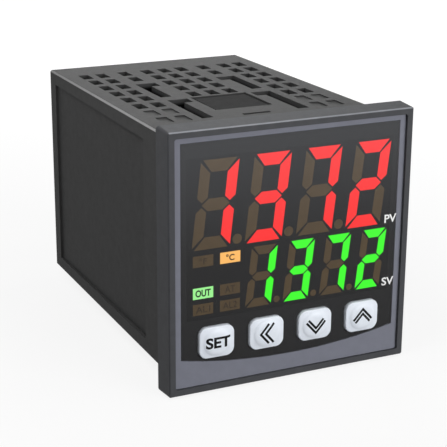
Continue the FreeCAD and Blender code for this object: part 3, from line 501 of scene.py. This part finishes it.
def rounded_outline(half_width, half_height, corner, angle):
    """The point of a rounded rectangle's outline that lies in one direction from its middle."""
    dx, dz = math.cos(angle), math.sin(angle)
    inner_x, inner_z = half_width - corner, half_height - corner
    reach = min(half / abs(part) if part else math.inf
                for half, part in ((half_width, dx), (half_height, dz)))
    x, z = dx * reach, dz * reach
    if abs(x) > inner_x and abs(z) > inner_z:
        centre = Vector((math.copysign(inner_x, dx), math.copysign(inner_z, dz)))
        half_b = Vector((dx, dz)).dot(centre)
        reach = half_b + math.sqrt(half_b ** 2 - centre.length_squared + corner ** 2)
        x, z = dx * reach, dz * reach
    return x, z


def key_mesh(name):
    """A key cap from rings: straight sides, a rolled edge, a flat rim and the round dome."""
    middle = box_middle(f"key_{name}")
    half_width, half_height = key_halves(name)
    face = key_face(name)
    angles = [2 * math.pi * step / KEY_STEPS for step in range(KEY_STEPS)]
    edges = [(0.0, KEY_BACK), (0.0, face + EDGE_ROLL)]
    for turn in range(1, ROLL_STEPS + 1):
        angle = turn / ROLL_STEPS * math.pi / 2
        edges.append((EDGE_ROLL * (1 - math.cos(angle)),
                      face + EDGE_ROLL * (1 - math.sin(angle))))
    rings = [[(x, y, z) for x, z in (rounded_outline(half_width - inset, half_height - inset,
                                                     KEY_CORNER - inset, angle)
                                     for angle in angles)] for inset, y in edges]
    rings += [[(x, face - dome_lift(x, z), z) for x, z in circle(share * DOME_RADIUS, KEY_STEPS)]
              for share in DOME_RINGS]
    shape = bmesh.new()
    loops = [[shape.verts.new(Vector((middle.x + x, y, middle.z + z)) * MM) for x, y, z in ring]
             for ring in rings]
    for outer, inner in zip(loops, loops[1:]):
        stitch(shape, outer, inner, KEY_STEPS)
    shape.faces.new(loops[-1])
    shape.faces.new(loops[0][::-1])
    turn_outwards(shape)
    return as_mesh(shape, f"key_cap_{name}")


def drape_on_key(mesh, name):
    """Bend a flat legend onto the key's dome, a hair in front of it."""
    middle = box_middle(f"key_{name}")
    face = key_face(name)
    shape = bmesh.new()
    shape.from_mesh(mesh)
    bmesh.ops.triangulate(shape, faces=shape.faces[:])
    for _ in range(LEGEND_HALVINGS):
        long_edges = [edge for edge in shape.edges if edge.calc_length() > LEGEND_EDGE * MM]
        if long_edges:
            bmesh.ops.subdivide_edges(shape, edges=long_edges, cuts=1)
    bmesh.ops.triangulate(shape, faces=shape.faces[:])
    for vertex in shape.verts:
        x, z = vertex.co.x / MM - middle.x, vertex.co.z / MM - middle.z
        vertex.co.y = (face - dome_lift(x, z) - LEGEND_LIFT) * MM
    shape.to_mesh(mesh)
    shape.free()


def stroke_mesh(paths, width):
    """Flat strokes of one width along paths of (x, z) points in millimetres, mitred at corners."""
    shape = bmesh.new()
    for path in paths:
        points = [Vector(point) for point in path]
        steps = [(after - before).normalized() for before, after in zip(points, points[1:])]
        sides = []
        for index, point in enumerate(points):
            normals = [Vector((-step.y, step.x)) for step in steps[max(index - 1, 0):index + 1]]
            mitre = sum(normals, Vector((0, 0))).normalized()
            reach = width / 2 / mitre.dot(normals[0])
            edges = [point + mitre * reach * sign for sign in (1, -1)]
            sides.append([shape.verts.new((edge.x, 0, edge.y)) for edge in edges])
        for (a, b), (c, d) in zip(sides, sides[1:]):
            shape.faces.new((a, b, d, c))
    return as_mesh(shape, "strokes")


def chevron_paths(name):
    """The two nested chevrons of an arrow key, about the key's middle."""
    if name == "shift":
        return [[(tip + SIDE_DEPTH, SIDE_HALF), (tip, 0.0), (tip + SIDE_DEPTH, -SIDE_HALF)]
                for tip in SIDE_TIPS]
    upward = 1 if name == "up" else -1
    return [[(-half, upward * (tip - drop)), (0.0, upward * tip), (half, upward * (tip - drop))]
            for tip, half, drop in UPRIGHT_CHEVRONS]


def make_keys():
    for name in KEYS:
        body = f"{name}_key"
        cap = add_piece(f"key_cap_{name}", key_mesh(name), "key_white", body, smooth=40)
        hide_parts(f"key_{name}")
        middle = box_middle(f"key_{name}")
        if name == "set":
            legend = text_mesh("SET", SET_BOLD)
            fit_flat(legend, *SET_SIZE, middle.x + SET_SHIFT, middle.z, 0.0)
        else:
            legend = stroke_mesh(chevron_paths(name), STROKE_WIDTH)
            for vertex in legend.vertices:
                vertex.co = (Vector(vertex.co) + Vector((middle.x, 0, middle.z))) * MM
        drape_on_key(legend, name)
        add_piece(f"legend_{name}", legend, "print_black", body)


# ---------------------------------------------------------------- display

FILM = 0.01             # the thickness of a printed or cast layer on the display
SAME_PLACE = 1e-6       # metres within which two levels or corners count as one
POINT_SQUARENESS = 0.1
POINT_COVER = 1.06
POINT_STEPS = 40
MARKS = (("PV", 20.1, 3.35), ("SV", 20.07, -8.74))      # text, x and z on the face
MARK_SIZE = (2.5, 1.56)
MARK_LIFT = 0.015
MARK_BOLD = 0.02
MARK_DEPTH = 0.02
LAMP_HALF = (1.92, 1.02)
WORD_LIFT = 0.03
WORD_DEPTH = 0.025


def islands(name):
    """The lowest and highest corner of each separate solid in a CAD node, in millimetres."""
    shape = bmesh.new()
    shape.from_mesh(NODES[name].data)
    bmesh.ops.remove_doubles(shape, verts=shape.verts[:], dist=SAME_PLACE)
    reached = set()
    found = []
    for seed in shape.verts:
        if seed in reached:
            continue
        reached.add(seed)
        front = [seed]
        piece = [seed]
        while front:
            for edge in front.pop().link_edges:
                for vertex in edge.verts:
                    if vertex not in reached:
                        reached.add(vertex)
                        front.append(vertex)
                        piece.append(vertex)
        found.append(tuple(Vector([pick(vertex.co[axis] for vertex in piece) / MM
                                   for axis in range(3)]) for pick in (min, max)))
    shape.free()
    return found


def disc(shape, x, z, radius, front, back):
    """A flat round slug between two levels along Y."""
    near, far = [[shape.verts.new(Vector((x + dx, y, z + dz)) * MM)
                  for dx, dz in circle(radius, POINT_STEPS)] for y in (front, back)]
    shape.faces.new(near)
    shape.faces.new(far[::-1])
    stitch(shape, near, far, POINT_STEPS)


def make_points():
    """Round lenses over the decimal points, which the solids carry with a few flat sides."""
    for row in ("pv", "sv"):
        shape = bmesh.new()
        for low, high in islands(f"{row}_segments_unlit"):
            width, height = high.x - low.x, high.z - low.z
            if abs(width - height) < POINT_SQUARENESS:
                disc(shape, (low.x + high.x) / 2, (low.z + high.z) / 2, width / 2 * POINT_COVER,
                     low.y - FILM, low.y + FILM)
        turn_outwards(shape)
        add_piece(f"{row}_points", as_mesh(shape, f"{row}_points"), "segment_dark")


def make_window_mask():
    """The black print on the pane's back, which frames the display and hides the front wall."""
    shape = bmesh.new()
    shape.from_mesh(NODES["display_window"].data)
    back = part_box("display_window")[1].y
    drop = [face for face in shape.faces
            if any(abs(vertex.co.y - back) > SAME_PLACE for vertex in face.verts)]
    bmesh.ops.delete(shape, geom=drop, context="FACES")
    low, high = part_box("display_module")
    for normal in ((1, 0, 0), (0, 0, 1)):
        for corner in (low, high):
            bmesh.ops.bisect_plane(shape, geom=shape.verts[:] + shape.edges[:] + shape.faces[:],
                                   plane_co=corner, plane_no=normal)
    inside = [face for face in shape.faces
              if low.x < face.calc_center_median().x < high.x
              and low.z < face.calc_center_median().z < high.z]
    bmesh.ops.delete(shape, geom=inside, context="FACES")
    for vertex in shape.verts:
        vertex.co.y = back - 2 * FILM * MM
    extrude_flat(shape, FILM)
    add_piece("window_mask", as_mesh(shape, "window_mask"), "module_black")


def make_display_words():
    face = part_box("display_window")[0].y / MM
    for text, x, z in MARKS:
        lettering(f"word_{text.lower()}", text, *MARK_SIZE, x, z, face - MARK_LIFT,
                  "print_white", MARK_BOLD, MARK_DEPTH)
    low, high = [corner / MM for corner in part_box("lamps_unlit")]
    left, right = low.x + LAMP_HALF[0], high.x - LAMP_HALF[0]
    bottom, top = low.z + LAMP_HALF[1], high.z - LAMP_HALF[1]
    unit, output = box_middle("unit_lamp_lit"), box_middle("output_lamp_lit")
    words = (
        # name, text, width, height, x, z, boldness and material
        ("celsius", "°C", 1.6, 1.2, unit.x, unit.z, 0.02, "print_black"),
        ("out", "OUT", 2.9, 1.3, output.x, output.z, 0.03, "print_black"),
        ("fahrenheit", "°F", 1.4, 1.1, left, top, 0.0, "print_shadow"),
        ("at", "AT", 1.9, 1.2, right, output.z, 0.0, "print_shadow"),
        ("al_one", "AL1", 2.7, 1.2, left, bottom, 0.0, "print_shadow"),
        ("al_two", "AL2", 2.7, 1.2, right, bottom, 0.0, "print_shadow"),
    )
    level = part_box("unit_lamp_lit")[0].y / MM - WORD_LIFT
    for name, text, width, height, x, z, bold, material in words:
        lettering(f"word_{name}", text, width, height, x, z, level, material, bold, WORD_DEPTH)


# ---------------------------------------------------------------- terminals

SCREW_SHANK = 1.5
HEAD_HEIGHT = 1.9
HEAD_STEPS = 48
HEAD_ROUNDING = ((0.72, 0.0), (0.88, -0.1), (0.97, -0.3), (1.0, -0.6))  # share of radius, level
TIP_BEVEL = 0.3
TIP_SHARE = 0.6
SLOT_DEPTH = 0.75
RECESS_ARM = 0.42
RECESS_REACH = 1.45
RECESS_DEPTH = 1.1
CUTTER_OVERRUN = 0.5
THREAD_PITCH = 0.5
THREAD_DEPTH = 0.18
THREAD_ROOT = 0.02      # how far the ridge is sunk in the shank
THREAD_FLANK = 0.2
THREAD_STEPS = 24
SCREW_TURN = 53
NUMBER_PLACE = 6.2
NUMBER_WIDTH = 0.95
NARROW_ONE = 0.5        # a lone 1 is half as wide as the other figures
NUMBER_HEIGHT = 1.7
NUMBER_RISE = 0.06
NUMBER_BOLD = 0.01


def lathe(profile, steps):
    """A closed turned mesh about Y from (radius, y) points, whose ends lie on the axis."""
    shape = bmesh.new()
    rings = [[shape.verts.new((x, y, z)) for x, z in circle(radius, steps if radius else 1)]
             for radius, y in profile]
    for near, far in zip(rings, rings[1:]):
        stitch(shape, near, far, steps)
    turn_outwards(shape)
    return as_mesh(shape, "turned")


def block_mesh(low, high):
    """A box between two corners."""
    shape = bmesh.new()
    for vertex in bmesh.ops.create_cube(shape, size=1.0)["verts"]:
        vertex.co = Vector([low[axis] if vertex.co[axis] < 0 else high[axis]
                            for axis in range(3)])
    return as_mesh(shape, "cutter")


def cut_mesh(mesh, cutter):
    """The mesh with the cutter taken out of it."""
    holder, tool = add_object("cutting", mesh), add_object("cutting", cutter)
    work = holder.modifiers.new("cut", "BOOLEAN")
    work.operation = "DIFFERENCE"
    work.solver = "EXACT"
    work.object = tool
    result = shown_mesh(holder)
    bpy.data.objects.remove(holder)
    bpy.data.objects.remove(tool)
    return result


def thread_mesh(radius, start, end):
    """A helical ridge round the Y axis."""
    shape = bmesh.new()
    root = radius - THREAD_DEPTH
    section = ((root - THREAD_ROOT, -THREAD_FLANK), (root + THREAD_DEPTH, 0.0),
               (root - THREAD_ROOT, THREAD_FLANK))
    turns = (end - start) / THREAD_PITCH - 1
    loops = []
    for index in range(int(turns * THREAD_STEPS) + 1):
        angle = 2 * math.pi * index / THREAD_STEPS
        along = start + THREAD_PITCH * (index / THREAD_STEPS + 0.5)
        loops.append([shape.verts.new((out * math.cos(angle), along + offset,
                                       out * math.sin(angle))) for out, offset in section])
    for near, far in zip(loops, loops[1:]):
        stitch(shape, near, far, len(section))
    shape.faces.new(loops[0][::-1])
    shape.faces.new(loops[-1])
    turn_outwards(shape)
    return as_mesh(shape, "thread")


def screw_parts(length, head_width):
    """A terminal screw along Y with its head's face at zero: a cross with one arm as a slot."""
    radius = head_width / 2
    core = SCREW_SHANK - THREAD_DEPTH
    profile = [(0.0, 0.0), *[(radius * share, level) for share, level in HEAD_ROUNDING],
               (radius, -HEAD_HEIGHT), (core, -HEAD_HEIGHT), (core, TIP_BEVEL - length),
               (SCREW_SHANK * TIP_SHARE, -length), (0.0, -length)]
    slot = block_mesh((-radius - CUTTER_OVERRUN, -SLOT_DEPTH, -RECESS_ARM),
                      (radius + CUTTER_OVERRUN, CUTTER_OVERRUN, RECESS_ARM))
    arm = block_mesh((-RECESS_ARM, -RECESS_DEPTH, -RECESS_REACH),
                     (RECESS_ARM, CUTTER_OVERRUN, RECESS_REACH))
    head = cut_mesh(cut_mesh(lathe(profile, HEAD_STEPS), slot), arm)
    return head, thread_mesh(SCREW_SHANK, -length, -HEAD_HEIGHT)


def make_screws():
    """The twelve terminal screws, each turned to an angle of its own, in place of the solids."""
    places = sorted(islands("terminal_screws"), key=lambda corners: (corners[0].x, corners[0].z))
    low, high = places[0]
    parts = screw_parts(high.y - low.y, high.x - low.x)
    shape = bmesh.new()
    for index, (low, high) in enumerate(places):
        turn = Matrix.Rotation(math.radians((index * SCREW_TURN) % 180), 4, "Y")
        middle = Matrix.Translation(Vector(((low.x + high.x) / 2, high.y, (low.z + high.z) / 2)))
        for part in parts:
            copy = part.copy()
            copy.transform(Matrix.Scale(MM, 4) @ middle @ turn)
            shape.from_mesh(copy)
    mesh = as_mesh(shape, "terminal_screw_set")
    screws = add_piece("terminal_screw_set", mesh, "zinc_plated", smooth=24)
    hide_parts("terminal_screws")


def make_terminal_numbers():
    """Raised numbers beside the terminals, one to six and seven to twelve from the top."""
    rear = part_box("case")[1].y / MM
    rows = sorted({round((low.z + high.z) / 2, 2) for low, high in islands("terminal_screws")},
                  reverse=True)
    shape = bmesh.new()
    for column, x in enumerate((NUMBER_PLACE, -NUMBER_PLACE)):
        for row, z in enumerate(rows):
            text = str(column * len(rows) + row + 1)
            mesh = text_mesh(text, NUMBER_BOLD)
            figures = NARROW_ONE if text == "1" else len(text)
            fit_flat(mesh, NUMBER_WIDTH * figures, NUMBER_HEIGHT, x, z, rear + NUMBER_RISE,
                     rear=True)
            thicken(mesh, -NUMBER_RISE)
            shape.from_mesh(mesh)
    add_piece("terminal_numbers", as_mesh(shape, "terminal_numbers"), "print_white")


# ---------------------------------------------------------------- stage

WHITE = (1.0, 1.0, 1.0, 1.0)
FLOOR_REACH = 4.0               # metres
FLOOR_GREY = 0.15
FLOOR_GLOW = 0.86
FLOOR_GLOW_SPAN = (0.05, 0.35)  # metres from the middle over which the floor turns white
ROOM_LIGHT = 0.12
LAMPS = (
    # name, side in millimetres, watts and place
    ("top_softbox", 95, 0.079, (-78, -15, 105)),
    ("front_fill", 300, 2.6, (200, -420, 40)),
    ("right_fill", 250, 0.8, (430, 100, 80)),
    ("rear_fill", 250, 0.9, (150, 430, 5)),
    ("rear_edge_light", 60, 0.05, (-155, 449, 205)),
    ("front_edge_light", 90, 0.12, (205, -123, 433)),
)
LAMP_TARGET = (0, 20, 0)
CAMERA_LENS = 107.45
CAMERA_PLACE = (-105.54, -199.24, 76.58)
CAMERA_RIGHT = (0.90503, -0.42530, 0.00560)
CAMERA_UP = (0.12599, 0.28062, 0.95151)


def direct_view(tree):
    """One where a camera, glossy or transmission ray looks, and zero for the light that falls."""
    path = tree.nodes.new("ShaderNodeLightPath")
    camera, glossy, transmission = [path.outputs[f"Is {kind} Ray"]
                                    for kind in ("Camera", "Glossy", "Transmission")]
    either = calculate(tree, "MAXIMUM", camera, glossy)
    return calculate(tree, "MAXIMUM", either, transmission)


def make_floor():
    """A floor that keeps the object's soft shadow and is white to the camera further out."""
    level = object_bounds()[0].z
    mesh = bpy.data.meshes.new("floor")
    corners = [(x * FLOOR_REACH, y * FLOOR_REACH, level)
               for x, y in ((-1, -1), (1, -1), (1, 1), (-1, 1))]
    mesh.from_pydata(corners, [], [(0, 1, 2, 3)])
    floor = add_object("floor", mesh)
    material, tree, shader = new_material("floor_white")
    shader.inputs["Base Color"].default_value = (FLOOR_GREY, FLOOR_GREY, FLOOR_GREY, 1)
    shader.inputs["Roughness"].default_value = 0.9
    shader.inputs["Specular IOR Level"].default_value = 0.0
    shader.inputs["Emission Color"].default_value = WHITE
    place = tree.nodes.new("ShaderNodeTexCoord")
    away = tree.nodes.new("ShaderNodeVectorMath")
    away.operation = "LENGTH"
    tree.links.new(place.outputs["Object"], away.inputs[0])
    spread = between(tree, away.outputs["Value"], FLOOR_GLOW_SPAN, (FLOOR_GLOW, 1.0))
    glow = calculate(tree, "MULTIPLY", direct_view(tree), spread)
    tree.links.new(glow, shader.inputs["Emission Strength"])
    mesh.materials.append(material)


def make_world():
    """A plain grey room that looks white to the camera and in gloss."""
    world = bpy.data.worlds.new("room")
    bpy.context.scene.world = world
    world.use_nodes = True
    tree = world.node_tree
    background = tree.nodes["Background"]
    background.inputs["Color"].default_value = WHITE
    level = between(tree, direct_view(tree), (0.0, 1.0), (ROOM_LIGHT, 1.0))
    tree.links.new(level, background.inputs["Strength"])


def add_lamp(name, size, watts, place):
    lamp = bpy.data.lights.new(name, "AREA")
    lamp.shape = "SQUARE"
    lamp.size = size * MM
    lamp.energy = watts
    holder = add_object(name, lamp)
    holder.location = Vector(place) * MM
    holder.rotation_mode = "QUATERNION"
    aim = Vector(LAMP_TARGET) - Vector(place)
    holder.rotation_quaternion = aim.to_track_quat("-Z", "Y")


def make_camera():
    """The camera stands front left and a little above, and looks down at the controller."""
    camera = bpy.data.cameras.new("camera")
    camera.sensor_width = 36.0
    camera.lens = CAMERA_LENS
    camera.clip_start, camera.clip_end = 0.01, 20.0
    holder = add_object("camera", camera)
    right, up = Vector(CAMERA_RIGHT), Vector(CAMERA_UP)
    turn = Matrix((right, up, right.cross(up))).transposed()
    holder.matrix_world = Matrix.Translation(Vector(CAMERA_PLACE) * MM) @ turn.to_4x4()
    bpy.context.scene.camera = holder


# ---------------------------------------------------------------- the scene

dress_nodes()
make_keys()
make_points()
make_window_mask()
make_display_words()
make_screws()
make_terminal_numbers()
make_floor()
make_world()
for lamp in LAMPS:
    add_lamp(*lamp)
make_camera()
bpy.context.scene.view_settings.view_transform = "Standard"
